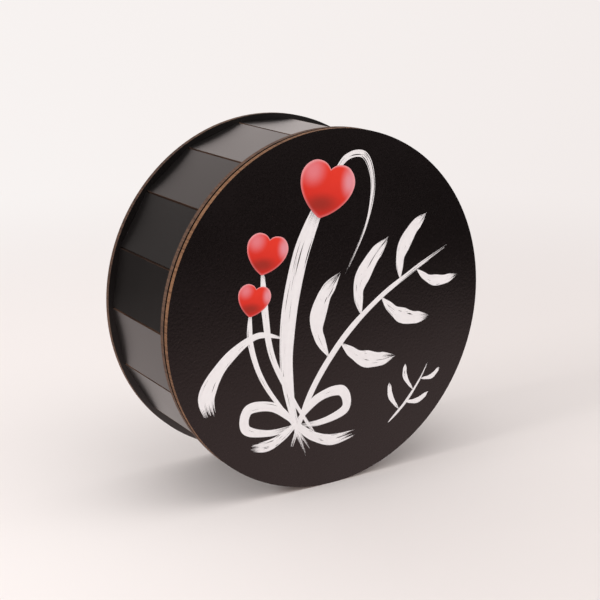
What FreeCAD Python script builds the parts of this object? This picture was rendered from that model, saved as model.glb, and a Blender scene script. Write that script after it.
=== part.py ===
import FreeCAD, Part
import Sketcher
import os

# Drum-shaped flower box of laser-cut board, standing on its round rims.
# Frame: millimetres, Z up, the lid faces -Y, the drum's axis runs along Y.
# Origin: on the floor, under the middle of the box.

doc = FreeCAD.newDocument("FlowerBox")
XYZ = FreeCAD.Vector

# ---------------------------------------------------------------- driving sizes
SIZES = [
    ("board", "3.0", "thickness of the board every piece is cut from"),
    ("disc_diameter", "200.0", "back, front ring and lid share one outer diameter"),
    ("box_depth", "75.0", "front of the lid to the rear of the back"),
    ("rim_width", "3.9", "rim edge to the outer face of a wall panel, at mid panel"),
    ("panel_count", "18", "flat wall panels round the drum"),
    ("seam_gap", "0.1", "left between neighbouring panels at their inner edges"),
    ("tab_width", "15.0", "tab at each end of a wall panel"),
    ("slot_fit", "0.1", "clearance on every side of a tab in its slot"),
    ("lid_gap", "1.4", "front tabs stand this proud of the ring; the lid bears on them"),
    ("opening_diameter", "170.0", "hole in the front ring, the mouth of the box"),
    ("plug_fit", "0.3", "radial clearance of the locating disc in the mouth"),
]
DERIVED = [
    ("disc_radius", "=disc_diameter / 2"),
    ("lid_front", "=-box_depth / 2"),
    ("lid_rear", "=lid_front + board"),
    ("ring_front", "=lid_rear + lid_gap"),
    ("ring_rear", "=ring_front + board"),
    ("back_rear", "=box_depth / 2"),
    ("back_front", "=back_rear - board"),
    ("panel_length", "=back_front - ring_rear"),
    ("panel_middle", "=(back_front + ring_rear) / 2"),
    ("wall_inside", "=disc_radius - rim_width - board"),
    ("panel_width", "=2 * wall_inside * tan(180 deg / panel_count) - seam_gap"),
    ("front_tab", "=board + lid_gap"),
    ("slot_width", "=tab_width + 2 * slot_fit"),
    ("slot_height", "=board + 2 * slot_fit"),
    ("opening_radius", "=opening_diameter / 2"),
    ("plug_radius", "=opening_radius - plug_fit"),
]


def make_size_sheet():
    """Spreadsheet of named sizes that every feature is bound to."""
    sheet = doc.addObject("Spreadsheet::Sheet", "Sizes")
    row = 1
    for alias, text, note in SIZES:
        sheet.set(f"A{row}", text)
        sheet.setAlias(f"A{row}", alias)
        sheet.set(f"B{row}", note)
        row += 1
    for alias, formula in DERIVED:
        sheet.set(f"A{row}", formula)
        sheet.setAlias(f"A{row}", alias)
        row += 1
    doc.recompute()
    return sheet


sheet = make_size_sheet()
PANEL_COUNT = int(sheet.panel_count)


# ---------------------------------------------------------------- sketch helpers
def origin_feature(body, role):
    """One of the body's own origin planes or axes, found by its role."""
    for feature in body.Origin.OriginFeatures:
        if feature.Role == role:
            return feature
    raise ValueError(role)


def new_body(label):
    body = doc.addObject("PartDesign::Body", label)
    body.Label = label
    return body


def new_sketch(body, name, plane):
    sketch = body.newObject("Sketcher::SketchObject", name)
    sketch.AttachmentSupport = [(origin_feature(body, plane), "")]
    sketch.MapMode = "FlatFace"
    return sketch


def add_circle(sketch, size_name):
    """Circle about the sketch's origin, its radius bound to a named size."""
    circle = Part.Circle(XYZ(0, 0, 0), XYZ(0, 0, 1), getattr(sheet, size_name))
    index = sketch.addGeometry(circle, False)
    sketch.addConstraint(Sketcher.Constraint("Coincident", index, 3, -1, 1))
    radius = sketch.addConstraint(Sketcher.Constraint("Radius", index, circle.Radius))
    sketch.setExpression(f"Constraints[{radius}]", f"Sizes.{size_name}")


def add_rectangle(sketch, centre_y, width_formula, height_formula, start_formula):
    """Upright rectangle centred on the sketch's Y axis; it starts at start_formula."""
    half = 5.0
    low, high = centre_y - 1.5, centre_y + 1.5
    corners = [XYZ(-half, low, 0), XYZ(half, low, 0), XYZ(half, high, 0), XYZ(-half, high, 0)]
    first = sketch.GeometryCount
    for number in range(4):
        sketch.addGeometry(Part.LineSegment(corners[number], corners[(number + 1) % 4]), False)
    bottom, right, top, left = range(first, first + 4)
    for number in range(4):
        after = first + (number + 1) % 4
        sketch.addConstraint(Sketcher.Constraint("Coincident", first + number, 2, after, 1))
    sketch.addConstraint(Sketcher.Constraint("Horizontal", top))
    for line in (left, right):
        sketch.addConstraint(Sketcher.Constraint("Vertical", line))
    sketch.addConstraint(Sketcher.Constraint("Symmetric", bottom, 1, bottom, 2, -2))
    width = sketch.addConstraint(Sketcher.Constraint("DistanceX", bottom, 1, bottom, 2, 2 * half))
    height = sketch.addConstraint(Sketcher.Constraint("DistanceY", right, 1, right, 2, high - low))
    start = sketch.addConstraint(Sketcher.Constraint("DistanceY", -1, 1, bottom, 1, low))
    sketch.setExpression(f"Constraints[{width}]", width_formula)
    sketch.setExpression(f"Constraints[{height}]", height_formula)
    sketch.setExpression(f"Constraints[{start}]", start_formula)


def pad_board(body, sketch, name):
    pad = body.newObject("PartDesign::Pad", name)
    pad.Profile = sketch
    pad.setExpression("Length", "Sizes.board")
    sketch.Visibility = False
    doc.recompute()
    return pad


# ---------------------------------------------------------------- the round boards
def make_round_board(label, rear_face, outer, inner=None):
    """Disc or ring of board: it grows forward (-Y) from its rear face."""
    body = new_body(label)
    outline = new_sketch(body, f"{label}_outline", "XZ_Plane")
    add_circle(outline, outer)
    if inner:
        add_circle(outline, inner)
    pad_board(body, outline, f"{label}_board")
    body.setExpression("Placement.Base.y", f"Sizes.{rear_face}")
    body.setExpression("Placement.Base.z", "Sizes.disc_radius")
    return body


def cut_panel_slots(body):
    """Slots for the tabs of the wall panels, one over each panel's middle."""
    before = body.Shape.Volume
    outline = new_sketch(body, f"{body.Label}_slot_outline", "XZ_Plane")
    add_rectangle(
        outline,
        sheet.wall_inside,
        "Sizes.slot_width",
        "Sizes.slot_height",
        "Sizes.wall_inside - Sizes.slot_fit",
    )
    slot = body.newObject("PartDesign::Pocket", f"{body.Label}_slot")
    slot.Profile = outline
    slot.Type = "ThroughAll"
    slot.Reversed = True
    outline.Visibility = False
    doc.recompute()
    one_slot = before - body.Shape.Volume

    pattern = body.newObject("PartDesign::PolarPattern", f"{body.Label}_slots")
    pattern.Originals = [slot]
    pattern.Axis = (outline, ["N_Axis"])
    pattern.Angle = 360
    pattern.setExpression("Occurrences", "Sizes.panel_count")
    body.Tip = pattern
    doc.recompute()
    all_slots = before - body.Shape.Volume
    expected = sheet.slot_width * sheet.slot_height * sheet.board
    print(f"{body.Label}: slot removes {one_slot:.2f} (expected {float(expected):.2f})")
    print(f"{body.Label}: all slots remove {all_slots:.2f}")
    if abs(all_slots - PANEL_COUNT * one_slot) > 0.01 or one_slot < 1.0:
        raise ValueError(f"{body.Label}: slots are missing")


# ---------------------------------------------------------------- the wall
def make_wall_panel(number):
    """Flat panel with a tab at each end; the tabs pass through back and ring."""
    label = f"wall_panel_{number + 1:02d}"
    body = new_body(label)
    tabs = new_sketch(body, f"{label}_tab_outline", "XY_Plane")
    add_rectangle(
        tabs,
        0.0,
        "Sizes.tab_width",
        "Sizes.panel_length + Sizes.front_tab + Sizes.board",
        "-Sizes.panel_length / 2 - Sizes.front_tab",
    )
    pad_board(body, tabs, f"{label}_tabs")
    board = new_sketch(body, f"{label}_outline", "XY_Plane")
    add_rectangle(
        board,
        0.0,
        "Sizes.panel_width",
        "Sizes.panel_length",
        "-Sizes.panel_length / 2",
    )
    pad_board(body, board, f"{label}_board")

    # Panel 01 is the topmost one; the rest follow round the drum's axis.
    turn = f"({number} * 360 deg / Sizes.panel_count)"
    body.Placement = FreeCAD.Placement(XYZ(0, 0, 0), FreeCAD.Rotation(XYZ(0, 1, 0), 1.0))
    body.setExpression("Placement.Base.x", f"Sizes.wall_inside * sin({turn})")
    body.setExpression("Placement.Base.y", "Sizes.panel_middle")
    body.setExpression("Placement.Base.z", f"Sizes.disc_radius + Sizes.wall_inside * cos({turn})")
    body.setExpression("Placement.Rotation.Angle", turn)
    return body


# ---------------------------------------------------------------- assembly
back_panel = make_round_board("back_panel", "back_rear", "disc_radius")
cut_panel_slots(back_panel)

front_ring = make_round_board("front_ring", "ring_rear", "disc_radius", "opening_radius")
cut_panel_slots(front_ring)

wall_panels = [make_wall_panel(number) for number in range(PANEL_COUNT)]

lid_panel = make_round_board("lid_panel", "lid_rear", "disc_radius")

# The disc cut out of the ring is glued behind the lid and plugs the mouth.
lid_locating_disc = make_round_board("lid_locating_disc", "lid_rear", "plug_radius")
lid_locating_disc.setExpression("Placement.Base.y", "Sizes.lid_rear + Sizes.board")

pieces = [back_panel, front_ring, *wall_panels, lid_panel, lid_locating_disc]
doc.recompute()

# ---------------------------------------------------------------- checks and export
for item in doc.Objects:
    if "Invalid" in item.State or "Error" in item.State:
        raise RuntimeError(f"{item.Label}: {item.State}")

os.makedirs("parts", exist_ok=True)
for piece in pieces:
    shape = piece.Shape
    if shape.isNull() or not shape.isValid():
        raise RuntimeError(f"{piece.Label}: bad shape")
    if len(shape.Solids) != 1:
        raise RuntimeError(f"{piece.Label}: {len(shape.Solids)} solids")
    shape.exportStep(f"parts/{piece.Label}.step")
    box = shape.BoundBox
    print(
        f"{piece.Label}: {shape.Volume:.1f} mm3,"
        f" x {box.XMin:.2f}..{box.XMax:.2f}"
        f" y {box.YMin:.2f}..{box.YMax:.2f}"
        f" z {box.ZMin:.2f}..{box.ZMax:.2f}"
    )
print(f"{len(pieces)} pieces written")
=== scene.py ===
# %% [markdown]
# # A round flower box with a printed lid
#
# The box is a drum of thin black board. A laser cut every piece from one sheet, so each
# cut edge is scorched brown while the faces stay black. Eighteen flat panels stand in a
# circle between a round back and a front ring, and a printed lid closes the front.
#
# The boards themselves come in as finished parts. This lesson gives them their finish,
# prints the lid with brush strokes and hearts, and sets up the table, lamps and camera.

# %% Bring in the finished boards
import math

import bmesh
import bpy
from mathutils import Matrix, Vector, geometry, noise


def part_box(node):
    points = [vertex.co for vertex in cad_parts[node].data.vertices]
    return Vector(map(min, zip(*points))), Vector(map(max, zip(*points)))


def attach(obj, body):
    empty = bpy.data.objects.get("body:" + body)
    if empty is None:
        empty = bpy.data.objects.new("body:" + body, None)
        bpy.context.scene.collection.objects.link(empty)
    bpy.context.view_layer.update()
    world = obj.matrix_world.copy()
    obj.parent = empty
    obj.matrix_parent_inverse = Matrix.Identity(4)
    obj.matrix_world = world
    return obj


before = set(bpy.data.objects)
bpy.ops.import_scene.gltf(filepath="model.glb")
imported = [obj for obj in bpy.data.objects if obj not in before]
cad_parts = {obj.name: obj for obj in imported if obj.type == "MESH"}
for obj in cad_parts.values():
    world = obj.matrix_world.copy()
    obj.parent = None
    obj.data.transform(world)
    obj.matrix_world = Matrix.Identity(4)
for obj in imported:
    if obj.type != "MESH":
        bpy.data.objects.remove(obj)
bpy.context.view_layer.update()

# %% [markdown]
# The lid tells us where everything goes: its front face is where the ink lies, and half
# its width is the radius that the print is laid out in. The drum's axis runs along Y,
# one radius above the table.

# %% Read the places from the lid
lid_low, lid_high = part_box("lid_panel")
BOARD = lid_high.y - lid_low.y
LID_FACE = lid_low.y
RADIUS = (lid_high.x - lid_low.x) / 2
AXIS_HEIGHT = (lid_low.z + lid_high.z) / 2
PANELS = sum(name.startswith("wall_panel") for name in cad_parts)
print(f"board {BOARD:.4f}, radius {RADIUS:.4f}, face at {LID_FACE:.4f}, {PANELS} panels")

# %% [markdown]
# A material is a small sum over the surface. Wrapping a socket in a class lets us write
# that sum as ordinary Python: adding two wires adds a Math node, and `node` makes any
# other node from its type, its settings and the values or wires of its inputs.


# %% A wire that can be added, multiplied and compared
class Wire:
    def __init__(self, tree, socket=None):
        self.tree = tree
        self.socket = socket

    def node(self, kind, settings=None, inputs=None, out=0):
        made = self.tree.nodes.new("ShaderNode" + kind)
        for name, value in (settings or {}).items():
            setattr(made, name, value)
        for name, value in (inputs or {}).items():
            if isinstance(value, Wire):
                self.tree.links.new(value.socket, made.inputs[name])
            else:
                made.inputs[name].default_value = value
        return Wire(self.tree, made.outputs[out])

    def math(self, operation, *values):
        return self.node("Math", {"operation": operation}, dict(enumerate(values)))

    def __add__(self, other):
        return self.math("ADD", self, other)

    def __radd__(self, other):
        return self.math("ADD", other, self)

    def __sub__(self, other):
        return self.math("SUBTRACT", self, other)

    def __rsub__(self, other):
        return self.math("SUBTRACT", other, self)

    def __mul__(self, other):
        return self.math("MULTIPLY", self, other)

    def __rmul__(self, other):
        return self.math("MULTIPLY", other, self)

    def __gt__(self, other):
        return self.math("GREATER_THAN", self, other)

    def ramp(self, low, high):
        """0 below low, 1 above high, with a soft change between."""
        return self.node(
            "MapRange",
            {"interpolation_type": "SMOOTHSTEP"},
            {"Value": self, "From Min": low, "From Max": high},
        )

    def between(self, first, second):
        """A colour that goes from first to second as this wire goes from 0 to 1."""
        return self.node("Mix", {"data_type": "RGBA"}, {0: self, 6: first, 7: second}, out=2)


def new_finish(name):
    """An empty material: its start wire and its shader node."""
    material = bpy.data.materials.new(name)
    material.use_nodes = True
    return material, Wire(material.node_tree), material.node_tree.nodes["Principled BSDF"]


def plug(shader, name, wire):
    wire.tree.links.new(wire.socket, shader.inputs[name])


print("wires ready")

# %% [markdown]
# ## The board
# Two things show on every board: the black satin laminate on its two faces, and the
# brown edge that the laser left. Which is which follows from the way the surface faces.
# A round board's faces look along the drum's axis. A wall panel's faces look away from
# that axis, so its own direction is worked out from the place round the drum, rounded to
# the nearest panel.
#
# The scorched edge has fine lines straight through the board's thickness, where the beam
# flickered. The faces have a fine tooth, which is a very shallow bump. Both go between two
# tones, so that no board is one flat colour.


# %% Tell faces from cut edges
def split_parts(vector):
    return [vector.node("SeparateXYZ", inputs={0: vector}, out=axis) for axis in "XYZ"]


def face_of_round_board(start):
    normal = start.node("TexCoord", out="Normal")
    return split_parts(normal)[1].math("ABSOLUTE", split_parts(normal)[1]) > 0.7


def face_of_wall_panel(start):
    place = split_parts(start.node("TexCoord", out="Object"))
    normal = split_parts(start.node("TexCoord", out="Normal"))
    step = math.tau / PANELS
    turn = start.math("ARCTAN2", place[0], place[2] - AXIS_HEIGHT)
    nearest = start.math("SNAP", turn + step / 2, step)
    outward = normal[0] * start.math("SINE", nearest) + normal[2] * start.math("COSINE", nearest)
    return start.math("ABSOLUTE", outward) > 0.9


# %% Build a board finish
def board_finish(name, face_mask, face_tones, scorch_tones, roughness, tooth, gloss):
    """Black faces, scorched edges. tooth is (size, height), gloss is (IOR, tint)."""
    material, start, shader = new_finish(name)
    place = start.node("TexCoord", out="Object")
    face = face_mask(start)
    cloud = start.node("TexNoise", inputs={"Vector": place, "Scale": 22.0, "Detail": 4.0})
    grain = start.node("TexNoise", inputs={"Vector": place, "Scale": 1 / tooth[0], "Detail": 2.0})
    through = start.node("Mapping", inputs={"Vector": place, "Scale": (1.0, 0.06, 1.0)})
    flicker = start.node("TexNoise", inputs={"Vector": through, "Scale": 900.0, "Detail": 3.0})

    black = (cloud * 0.5 + grain * 0.5).ramp(0.38, 0.72).between(*face_tones)
    brown = (flicker * 0.6 + cloud * 0.4).ramp(0.3, 0.68).between(*scorch_tones)
    plug(shader, "Base Color", face.between(brown, black))
    plug(shader, "Roughness", (1 - face) * 0.5 + roughness + cloud * 0.06 + grain * 0.06)
    relief = face * grain + (1 - face) * flicker * 1.5
    height = start.node("Bump", inputs={"Height": relief, "Distance": tooth[1], "Strength": 0.7})
    plug(shader, "Normal", height)
    shader.inputs["IOR"].default_value = gloss[0]
    shader.inputs["Specular Tint"].default_value = gloss[1]
    return material


LAMINATE = ((0.0060, 0.0052, 0.0050, 1), (0.0115, 0.0100, 0.0095, 1))
SCORCH = ((0.060, 0.025, 0.010, 1), (0.25, 0.122, 0.058, 1))
DARK_SCORCH = ((0.030, 0.012, 0.006, 1), (0.13, 0.064, 0.034, 1))
SATIN = {"roughness": 0.27, "tooth": (0.0007, 0.000015), "gloss": (1.62, (1, 0.89, 0.875, 1))}

case_board = board_finish("case_board", face_of_round_board, LAMINATE, DARK_SCORCH, **SATIN)
wall_board = board_finish("wall_board", face_of_wall_panel, LAMINATE, DARK_SCORCH, **SATIN)


def give_finish(node_name, finish):
    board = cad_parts[node_name]
    board.data.materials.clear()
    board.data.materials.append(finish)


for node_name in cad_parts:
    give_finish(node_name, wall_board if node_name.startswith("wall_panel") else case_board)
print("finished boards:", len(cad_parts))

# %% [markdown]
# ## The lid's face
# The lid is the same board under a printed film. The film is darker than the bare laminate
# and mirrors less, with a coarser tooth that catches small points of light. The lid's own
# edge is the least scorched.

# %% Finish the lid
FILM = ((0.0020, 0.0015, 0.0016, 1), (0.0050, 0.0038, 0.0041, 1))
film_board = board_finish(
    "film_board",
    face_of_round_board,
    FILM,
    SCORCH,
    roughness=0.21,
    tooth=(0.0014, 0.00011),
    gloss=(1.43, (1, 0.76, 0.75, 1)),
)
give_finish("lid_panel", film_board)
print("lid finish:", film_board.name)

# %% [markdown]
# ## White ink: dry brush strokes
# The print is a bunch of three hearts on brushed stems with leaves. Each stroke is a
# flat brush, nearly out of paint, pulled along a curve. It could be painted as a mask in
# the lid's material, but a real stroke has an outline, so it is made as a film of ink:
# every bristle is a short edge that is extruded step by step along the path. Where two
# bristles touch they share a line. Where the brush runs dry a thin gap opens.
#
# Places on the lid are given in lid radii from its centre: right, then up.

# %% A soft curve through a few places
PATH_STEPS = 14


def smooth_path(places):
    """Many points along a soft curve through a few places on the lid."""
    stops = [Vector((right, up, 0)) for right, up in places]
    path = [stops[0]]
    for number in range(len(stops) - 1):
        here, there = stops[number], stops[number + 1]
        before = stops[max(number - 1, 0)]
        after = stops[min(number + 2, len(stops) - 1)]
        lead, trail = here + (there - before) / 6, there - (after - here) / 6
        path += geometry.interpolate_bezier(here, lead, trail, there, PATH_STEPS)[1:]
    return path


def read_along(values, share):
    """The value at a share of the way along a short list, changing softly."""
    spot = min(share, 0.9999) * (len(values) - 1)
    low = int(spot)
    mix = spot - low
    mix = mix * mix * (3 - 2 * mix)
    return values[low] * (1 - mix) + values[low + 1] * mix


print("points on a sample path:", len(smooth_path([(0, 0), (1, 1), (2, 0)])))

# %% [markdown]
# A bristle starts and stops a little apart from its neighbours, which gives the ragged
# ends of a stroke. Noise along the stroke opens the dry gaps. `pressure` says how wide
# the brush is pressed along the way, from 0 to 1.

# %% Pull one bristle
INK = 0.00003


def on_lid(place):
    return Vector((place.x * RADIUS, LID_FACE, AXIS_HEIGHT + place.y * RADIUS))


def hush(share, along, seed):
    """Smooth noise from -1 to 1, for one line of a stroke."""
    return noise.noise(Vector((share, along, seed)))


def bristle_sides(lane, lanes, share, start, stop, dry, seed):
    """Where the two sides of a bristle lie across the brush, from -0.5 to 0.5."""
    sides = []
    for painted_light_side in (lane, lane + 1):
        ripple = hush(share * 9, painted_light_side * 0.9, seed + 20)
        if painted_light_side in (0, lanes):
            inset = 0.3 * abs(ripple)
        else:
            inset = max(0.0, hush(share * 7, painted_light_side * 2.3, seed) - (0.6 - 0.55 * dry))
        inset += max(0.0, 1 - (share - start) * 14) * 0.3
        inset += max(0.0, 1 - (stop - share) * 9) * 0.42
        shift = min(inset, 0.46) * (1 if painted_light_side == lane else -1)
        if painted_light_side not in (0, lanes):
            shift += 0.3 * ripple
        sides.append((painted_light_side + shift) / lanes - 0.5)
    return sides


def pull_bristle(mesh, load, path, lane, stroke):
    """An edge that is extruded from each point of the path to the next."""
    lanes, dry, seed = stroke["bristles"], stroke["dry"], stroke["seed"]
    start = 0.07 * dry * (0.5 + hush(lane * 1.7, seed, 0.3))
    stop = 1 - 0.3 * dry * max(0.0, 0.45 + hush(lane * 1.3, seed, 7.7))
    last = len(path) - 1
    pair = None
    for step, point in enumerate(path):
        share = step / last
        if not start <= share <= stop:
            continue
        ahead = path[min(step + 1, last)] - path[max(step - 1, 0)]
        across = Vector((-ahead.y, ahead.x, 0)).normalized()
        across *= stroke["width"] * read_along(stroke["pressure"], share)
        sides = bristle_sides(lane, lanes, share, start, stop, dry, seed)
        places = [on_lid(point + across * painted_light_side) for painted_light_side in sides]
        if pair is None:
            pair = [mesh.verts.new(place) for place in places]
            edge = mesh.edges.new(pair)
        else:
            grown = bmesh.ops.extrude_edge_only(mesh, edges=[edge])["geom"]
            ends = [part for part in grown if isinstance(part, bmesh.types.BMVert)]
            ends.sort(key=lambda end: (end.co - pair[0].co).length)
            for end, place in zip(ends, places):
                end.co = place
            pair = ends
            edge = next(part for part in grown if isinstance(part, bmesh.types.BMEdge))
        for end in pair:
            end[load] = 0.5 + 0.5 * hush(lane * 0.8, seed, share * 2)


print(f"ink film {INK * 1000:.3f} mm")

# %% [markdown]
# The bristles of a stroke are welded where they touch, and the sheet is extruded by the
# thickness of the ink. Strokes that cross get a slightly thicker film in turn, so that
# the later one lies on top.

# %% Paint a stroke
white_ink, ink_start, ink_shader = new_finish("white_ink")
ink_load = ink_start.node("Attribute", {"attribute_name": "paint_load"}, out="Fac")
ink_place = ink_start.node("TexCoord", out="Object")
ink_mottle = ink_start.node("TexNoise", inputs={"Vector": ink_place, "Scale": 420.0, "Detail": 3.0})
ink_tone = (ink_load * 0.6 + ink_mottle * 0.4).ramp(0.1, 0.75)
plug(ink_shader, "Base Color", ink_tone.between((0.86, 0.82, 0.83, 1), (0.94, 0.905, 0.91, 1)))
plug(ink_shader, "Roughness", ink_mottle * 0.2 + 0.4)
strokes = []


def thicken(mesh, thickness):
    """A flat sheet on the lid becomes a closed film of that thickness."""
    for face in mesh.faces:
        if face.normal.y > 0:
            face.normal_flip()
    grown = bmesh.ops.extrude_face_region(mesh, geom=mesh.faces[:])["geom"]
    front = [part for part in grown if isinstance(part, bmesh.types.BMVert)]
    bmesh.ops.translate(mesh, verts=front, vec=(0, -thickness, 0))
    bmesh.ops.recalc_face_normals(mesh, faces=mesh.faces)


def place_print(name, mesh, finish):
    data = bpy.data.meshes.new(name)
    mesh.to_mesh(data)
    mesh.free()
    piece = bpy.data.objects.new(name, data)
    bpy.context.scene.collection.objects.link(piece)
    data.materials.append(finish)
    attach(piece, "lid")
    return piece


def paint(name, places, pressure, width, dry, bristles):
    mesh = bmesh.new()
    load = mesh.verts.layers.float.new("paint_load")
    stroke = {
        "width": width,
        "pressure": pressure,
        "dry": dry,
        "bristles": bristles,
        "seed": 3.7 * (len(strokes) + 1),
    }
    for lane in range(bristles):
        pull_bristle(mesh, load, smooth_path(places), lane, stroke)
    bmesh.ops.remove_doubles(mesh, verts=mesh.verts, dist=0.000002)
    thicken(mesh, INK + 0.000002 * len(strokes))
    strokes.append(place_print(name, mesh, white_ink))


LEAF = (0.06, 0.6, 1.0, 0.8, 0.08)
STEM = (0.5, 1.0, 0.9, 0.75, 0.5, 0.2)
TENDRIL = (0.25, 0.9, 1.0, 0.7, 0.35, 0.2)
BOW = (0.35, 0.85, 1.0, 0.9, 0.6, 0.35)
RIBBON = (0.5, 0.8, 1.0, 0.6)
print("pressures:", len(LEAF), len(STEM), len(TENDRIL), len(BOW), len(RIBBON))

# %% [markdown]
# ## The bunch
# Three stems rise from a common grip to the three hearts, a branch with broad leaves
# fills the right, a curled leaf hangs to the left, a tendril loops over the top, and a
# brushed ribbon ties the bunch in a bow.

# %% Paint the stems and the bow
KNOT = (-0.24, -0.6)
STROKES = {
    "stem_of_large_heart": (
        [(-0.09, 0.6), (-0.2, 0.36), (-0.275, 0.05), (-0.295, -0.27), (-0.25, -0.56), (-0.17, -0.8)],
        (0.7, 1.0, 1.0, 0.8, 0.45, 0.1),
        {"width": 0.1, "dry": 0.55, "bristles": 13},
    ),
    "stem_of_middle_heart": (
        [(-0.44, 0.3), (-0.425, 0.05), (-0.38, -0.2), (-0.24, -0.48), (-0.06, -0.76)],
        STEM,
        {"width": 0.042, "dry": 0.5, "bristles": 6},
    ),
    "stem_of_small_heart": (
        [(-0.515, 0.08), (-0.515, -0.1), (-0.44, -0.32), (-0.28, -0.56), (-0.12, -0.8)],
        STEM,
        {"width": 0.034, "dry": 0.5, "bristles": 5},
    ),
    "curled_leaf": (
        [(-0.31, -0.1), (-0.48, -0.06), (-0.67, -0.17), (-0.78, -0.33), (-0.76, -0.46)],
        (0.08, 0.35, 0.65, 1.0, 0.7),
        {"width": 0.1, "dry": 0.36, "bristles": 12},
    ),
    "tendril": (
        [(-0.02, 0.72), (0.08, 0.84), (0.2, 0.84), (0.255, 0.68), (0.21, 0.45), (0.08, 0.2)],
        TENDRIL,
        {"width": 0.04, "dry": 0.7, "bristles": 6},
    ),
    "branch": (
        [(-0.27, -0.74), (-0.13, -0.42), (0.07, -0.16), (0.3, 0.03), (0.55, 0.17), (0.82, 0.3)],
        (0.5, 1.0, 1.0, 0.8, 0.7, 0.25),
        {"width": 0.038, "dry": 0.5, "bristles": 6},
    ),
    "bow_left": (
        [KNOT, (-0.37, -0.48), (-0.53, -0.46), (-0.55, -0.57), (-0.4, -0.62), (-0.24, -0.61)],
        BOW,
        {"width": 0.062, "dry": 0.4, "bristles": 8},
    ),
    "bow_right": (
        [KNOT, (-0.1, -0.48), (0.06, -0.46), (0.09, -0.57), (-0.07, -0.62), (-0.24, -0.61)],
        BOW,
        {"width": 0.062, "dry": 0.4, "bristles": 8},
    ),
    "ribbon_left": (
        [KNOT, (-0.33, -0.66), (-0.42, -0.69), (-0.53, -0.68)],
        RIBBON,
        {"width": 0.065, "dry": 0.6, "bristles": 9},
    ),
    "ribbon_right": (
        [KNOT, (-0.13, -0.69), (0.0, -0.74), (0.15, -0.73)],
        RIBBON,
        {"width": 0.065, "dry": 0.6, "bristles": 9},
    ),
}
for stroke_name, (places, pressure, brush) in STROKES.items():
    paint(stroke_name, places, pressure, **brush)
print("strokes:", len(strokes))

# %% Paint the leaves of the branch
BRANCH_LEAVES = [
    ("leaf_a", [(-0.02, -0.26), (-0.1, -0.08), (-0.06, 0.09), (0.05, 0.22)], 0.105),
    ("leaf_b", [(0.05, -0.18), (0.17, -0.28), (0.29, -0.32), (0.43, -0.32)], 0.1),
    ("leaf_c", [(0.19, -0.05), (0.17, 0.11), (0.25, 0.26), (0.37, 0.38)], 0.1),
    ("leaf_d", [(0.32, 0.04), (0.42, -0.06), (0.53, -0.11), (0.67, -0.12)], 0.09),
    ("leaf_e", [(0.45, 0.12), (0.45, 0.26), (0.52, 0.39), (0.63, 0.49)], 0.085),
    ("leaf_f", [(0.56, 0.17), (0.65, 0.1), (0.75, 0.08), (0.86, 0.1)], 0.065),
]
for leaf_name, leaf_places, leaf_width in BRANCH_LEAVES:
    paint(leaf_name, leaf_places, LEAF, width=leaf_width, dry=0.42, bristles=11)

# %% Paint the small spray
SPRAY = [
    ("spray_stem", [(0.38, -0.72), (0.5, -0.62), (0.6, -0.5), (0.66, -0.4)], 0.018, TENDRIL),
    ("spray_leaf_a", [(0.46, -0.65), (0.4, -0.56), (0.39, -0.47)], 0.035, LEAF),
    ("spray_leaf_b", [(0.5, -0.61), (0.59, -0.62), (0.67, -0.58)], 0.035, LEAF),
    ("spray_leaf_c", [(0.56, -0.55), (0.5, -0.46), (0.5, -0.38)], 0.032, LEAF),
    ("spray_leaf_d", [(0.61, -0.49), (0.69, -0.49), (0.75, -0.44)], 0.03, LEAF),
]
for twig_name, twig_places, twig_width, twig_pressure in SPRAY:
    paint(twig_name, twig_places, twig_pressure, width=twig_width, dry=0.35, bristles=4)
print("strokes:", len(strokes), "faces:", sum(len(s.data.polygons) for s in strokes))

# %% [markdown]
# ## Red hearts
# A heart is a flat outline, so it starts as a closed Bezier curve with its notch and tip
# as corners. The curve is filled and made a mesh, and inset a few times, so that an
# attribute can count how far a place is from the outline. Each inset starts with no width
# and is then scaled towards the middle, which never folds over itself at the tip. The
# printed shading reads the count for a pale line round the rim, and has two soft pink
# lights on the lobes and a dark low belly.

# %% Draw one heart outline
RIM_SHRINKS = (0.965, 0.95, 0.93, 0.9)
HEART_SHAPE = [
    ((0, 0.57), (-0.14, 0.73), (0.14, 0.73)),
    ((0.5, 0.78), (0.27, 0.79), (0.73, 0.77)),
    ((1.0, 0.2), (1.02, 0.52), (0.98, -0.28)),
    ((0.09, -0.91), (0.5, -0.72), (0.04, -0.95)),
    ((-0.09, -0.91), (-0.04, -0.95), (-0.5, -0.72)),
    ((-1.0, 0.2), (-0.98, -0.28), (-1.02, 0.52)),
    ((-0.5, 0.78), (-0.73, 0.77), (-0.27, 0.79)),
]


def heart_outline():
    curve = bpy.data.curves.new("heart_outline", "CURVE")
    curve.dimensions = "2D"
    curve.fill_mode = "BOTH"
    curve.resolution_u = 20
    line = curve.splines.new("BEZIER")
    line.bezier_points.add(len(HEART_SHAPE) - 1)
    line.use_cyclic_u = True
    for point, (place, left, right) in zip(line.bezier_points, HEART_SHAPE):
        point.co = (*place, 0)
        point.handle_left = (*left, 0)
        point.handle_right = (*right, 0)
    drawn = bpy.data.objects.new("heart_outline", curve)
    data = bpy.data.meshes.new_from_object(drawn)
    bpy.data.objects.remove(drawn)
    mesh = bmesh.new()
    mesh.from_mesh(data)
    bpy.data.meshes.remove(data)
    bmesh.ops.remove_doubles(mesh, verts=mesh.verts, dist=0.0001)
    bmesh.ops.dissolve_faces(mesh, faces=mesh.faces[:])
    return mesh


# %% Shade the hearts as the printer did
red_ink, red_start, red_shader = new_finish("red_ink")
spot = red_start.node("UVMap", {"uv_map": "heart_place"})
across, up, _ = split_parts(spot)
from_rim = red_start.node("Attribute", {"attribute_name": "from_rim"}, out="Fac")


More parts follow.
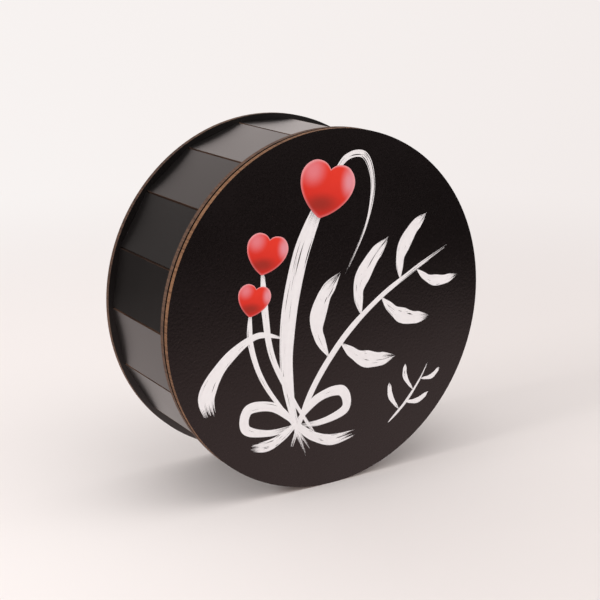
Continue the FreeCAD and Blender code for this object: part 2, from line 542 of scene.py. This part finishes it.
def soft_spot(center, reach, turn=0.0):
    """1 in the middle of a soft oval, 0 outside it."""
    flat = red_start.node(
        "Mapping",
        {"vector_type": "TEXTURE"},
        {"Vector": spot, "Location": (*center, 0), "Rotation": (0, 0, turn), "Scale": (*reach, 1)},
    )
    far = flat.node("VectorMath", {"operation": "LENGTH"}, {0: flat}, out="Value")
    return 1 - far.ramp(0.1, 1.0)


red = (up + 0.2).ramp(-0.8, 0.8).between((0.66, 0.012, 0.005, 1), (0.84, 0.030, 0.010, 1))
belly = soft_spot((-0.08, -0.52), (0.9, 0.42), 0.2)
red = (belly * 0.7).between(red, (0.27, 0.018, 0.008, 1))
left_light = soft_spot((-0.62, 0.42), (0.6, 0.62), 0.6)
red = (left_light * 0.9).between(red, (0.84, 0.22, 0.25, 1))
right_light = soft_spot((0.8, 0.34), (0.42, 0.66), 0.25)
red = (right_light * 0.9).between(red, (0.82, 0.32, 0.37, 1))
upper = up.ramp(-0.7, 0.7)
rim_line = (1 - from_rim).ramp(0.3, 1.0) * (upper * 0.5 + 0.3)
red = rim_line.between(red, (0.90, 0.42, 0.44, 1))
plug(red_shader, "Base Color", red)
red_place = red_start.node("TexCoord", out="Object")
red_mottle = red_start.node("TexNoise", inputs={"Vector": red_place, "Scale": 500.0})
plug(red_shader, "Roughness", red_mottle * 0.15 + 0.4)
red_shader.inputs["IOR"].default_value = 1.38

# %% Print the three hearts
HEARTS = [
    ("large_heart", (-0.045, 0.69), 0.174),
    ("middle_heart", (-0.414, 0.382), 0.126),
    ("small_heart", (-0.494, 0.142), 0.1),
]
HEART_TILT = math.radians(-16.5)


def print_heart(name, center, half_width):
    mesh = heart_outline()
    rim_depth = mesh.verts.layers.float.new("from_rim")
    for step, shrink in enumerate(RIM_SHRINKS, start=1):
        inner = max(mesh.faces, key=lambda face: face.calc_area())
        bmesh.ops.inset_individual(mesh, faces=[inner], thickness=0.0)
        bmesh.ops.scale(mesh, vec=(shrink, shrink, 1), verts=inner.verts)
        for corner in inner.verts:
            corner[rim_depth] = step / len(RIM_SHRINKS)
    layer = mesh.loops.layers.uv.new("heart_place")
    for face in mesh.faces:
        for corner in face.loops:
            corner[layer].uv = corner.vert.co.xy
    turn = Matrix.Rotation(HEART_TILT, 3, "Z")
    for corner in mesh.verts:
        corner.co = on_lid(turn @ corner.co * half_width + Vector((*center, 0)))
    mesh.normal_update()
    thicken(mesh, INK * 4)
    return place_print(name, mesh, red_ink)


hearts = [print_heart(*heart) for heart in HEARTS]
print("hearts:", [len(heart.data.polygons) for heart in hearts])

# %% [markdown]
# ## Table and backdrop
# The table is one wide sheet. Near the box it is a plain pale surface that takes the
# shadow. Further out it turns into a pale tone for the camera only, which stands
# in for the backdrop, and the world shows the same tone. The paper's colour and that tone
# are painted lighter on the left and darker on the right: painted light and shade. Black
# satin shows what it mirrors, so for glossy rays the table is a painted reflection: a
# glow that is pale near the box, ends a short way in front of it, and gives way to a dim room.

# %% Lay the table
TABLE_REACH = 9.0
# Painted light and shade: the paper and the backdrop glow are lighter on the left and darker on the
# right.
PAPER_PAINTED_LIGHT = (0.86, 0.805, 0.785, 1)
PAPER_PAINTED_SHADE = (0.79, 0.735, 0.715, 1)
BACKDROP_PAINTED_LIGHT = (0.940, 0.900, 0.885, 1)
BACKDROP_PAINTED_SHADE = (0.880, 0.825, 0.808, 1)
# The next colours make the painted reflection on the table: a glow for glossy rays, pale near the
# box, a dim room beyond.
ROOM_DARK = (0.05, 0.045, 0.043, 1)
ROOM_FAR = (0.42, 0.40, 0.39, 1)
PAINTED_TABLE_GLOW = (1.0, 0.895, 0.865, 1)

table_mesh = bmesh.new()
bmesh.ops.create_circle(table_mesh, cap_ends=True, segments=96, radius=TABLE_REACH)
table_data = bpy.data.meshes.new("table")
table_mesh.to_mesh(table_data)
table_mesh.free()
table = bpy.data.objects.new("table", table_data)
bpy.context.scene.collection.objects.link(table)


def paper_finish():
    material, start, shader = new_finish("paper")
    place = start.node("TexCoord", out="Object")
    right, forward, _ = split_parts(place)
    distance = place.node("VectorMath", {"operation": "LENGTH"}, {0: place}, out="Value")
    shader.inputs["Roughness"].default_value = 0.85
    # Painted light: lighter on the left, darker on the right, for both the paper's colour and the
    # backdrop glow.
    painted_light_side = start.math("DIVIDE", right * 0.8 - forward * 0.6, distance).ramp(-0.6, 0.6)
    plug(shader, "Base Color", painted_light_side.between(PAPER_PAINTED_LIGHT, PAPER_PAINTED_SHADE))
    glow = start.node("Emission", inputs={"Color": painted_light_side.between(BACKDROP_PAINTED_LIGHT, BACKDROP_PAINTED_SHADE)})
    # Painted reflection: for glossy rays the table glows pale near the box and turns into a dim room
    # past its edge.
    past_edge = start.math("MAXIMUM", (0 - forward).ramp(0.15, 0.48), distance.ramp(0.3, 0.55))
    room = (0 - forward).ramp(0.7, 1.3).between(ROOM_DARK, ROOM_FAR)
    painted_reflection = start.node("Emission", inputs={"Color": past_edge.between(PAINTED_TABLE_GLOW, room)})
    paths = {kind: start.node("LightPath", out=f"Is {kind} Ray") for kind in ("Camera", "Glossy")}
    far = distance.ramp(0.25, 0.9) * paths["Camera"]
    plain = Wire(start.tree, shader.outputs[0])
    seen = start.node("MixShader", inputs={0: far, 1: plain, 2: glow})
    mixed = start.node("MixShader", inputs={0: paths["Glossy"], 1: seen, 2: painted_reflection})
    start.tree.links.new(mixed.socket, start.tree.nodes["Material Output"].inputs["Surface"])
    return material


table_data.materials.append(paper_finish())
print("table reach:", TABLE_REACH)

# %% [markdown]
# ## Light
# A soft lamp stands on the left and another at the front right, so that two faint shadows
# fall away from the box, and a wide one hangs above. The world adds an even fill. In the
# gloss it holds a softbox behind the box, which is what the satin panels on top mirror.


# %% Set the lamps
def soft_lamp(name, place, aim, width, watts):
    data = bpy.data.lights.new(name, "AREA")
    data.shape = "DISK"
    data.size = width
    data.energy = watts
    lamp = bpy.data.objects.new(name, data)
    lamp.location = place
    lamp.rotation_euler = (Vector(aim) - Vector(place)).to_track_quat("-Z", "Y").to_euler()
    bpy.context.scene.collection.objects.link(lamp)
    return lamp


MIDDLE = (0, 0, AXIS_HEIGHT)
lamps = [
    soft_lamp("left_lamp", (-1.3, -0.05, 0.8), MIDDLE, 0.5, 7.0),
    soft_lamp("right_lamp", (1.1, -0.8, 0.9), MIDDLE, 0.9, 3.2),
    soft_lamp("top_lamp", (0.0, -0.3, 1.5), MIDDLE, 1.2, 4.0),
]
print("lamps:", [lamp.name for lamp in lamps])

# %% Set the world
world = bpy.data.worlds.new("studio")
bpy.context.scene.world = world
world.use_nodes = True
sky = Wire(world.node_tree)
toward = sky.node("TexCoord", out="Generated")
SOFTBOX_SIDE = (0.47, 0.84, 0.28)
facing = {0: toward, 1: SOFTBOX_SIDE}
softbox = sky.node("VectorMath", {"operation": "DOT_PRODUCT"}, facing, out="Value")
room = softbox.ramp(0.2, 0.6).between(ROOM_DARK, (0.2, 0.19, 0.185, 1))
mirrored_sky = softbox.ramp(0.67, 0.97).between(room, (1.5, 1.37, 1.33, 1))
is_glossy = sky.node("LightPath", out="Is Glossy Ray")
is_camera = sky.node("LightPath", out="Is Camera Ray")
lit_sky = is_glossy.between((0.80, 0.785, 0.78, 1), mirrored_sky)
plug(world.node_tree.nodes["Background"], "Color", is_camera.between(lit_sky, BACKDROP_PAINTED_LIGHT))
print("world:", world.name)

# %% [markdown]
# ## Camera
# The camera looks slightly down on the box from the front left, from about arm's length.

# %% Place the camera
TURN = math.radians(32.01)
TILT = math.radians(15.52)
camera_data = bpy.data.cameras.new("camera")
camera_data.sensor_width = 36
camera_data.lens = 77.93
camera = bpy.data.objects.new("camera", camera_data)
camera.location = (-3.7473 * RADIUS, LID_FACE - 5.6593 * RADIUS, AXIS_HEIGHT + 1.9531 * RADIUS)
look = Vector((math.sin(TURN) * math.cos(TILT), math.cos(TURN) * math.cos(TILT), -math.sin(TILT)))
camera.rotation_euler = look.to_track_quat("-Z", "Y").to_euler()
bpy.context.scene.collection.objects.link(camera)
bpy.context.scene.camera = camera
bpy.context.scene.view_settings.view_transform = "Standard"
print("camera at", [round(v, 3) for v in camera.location])
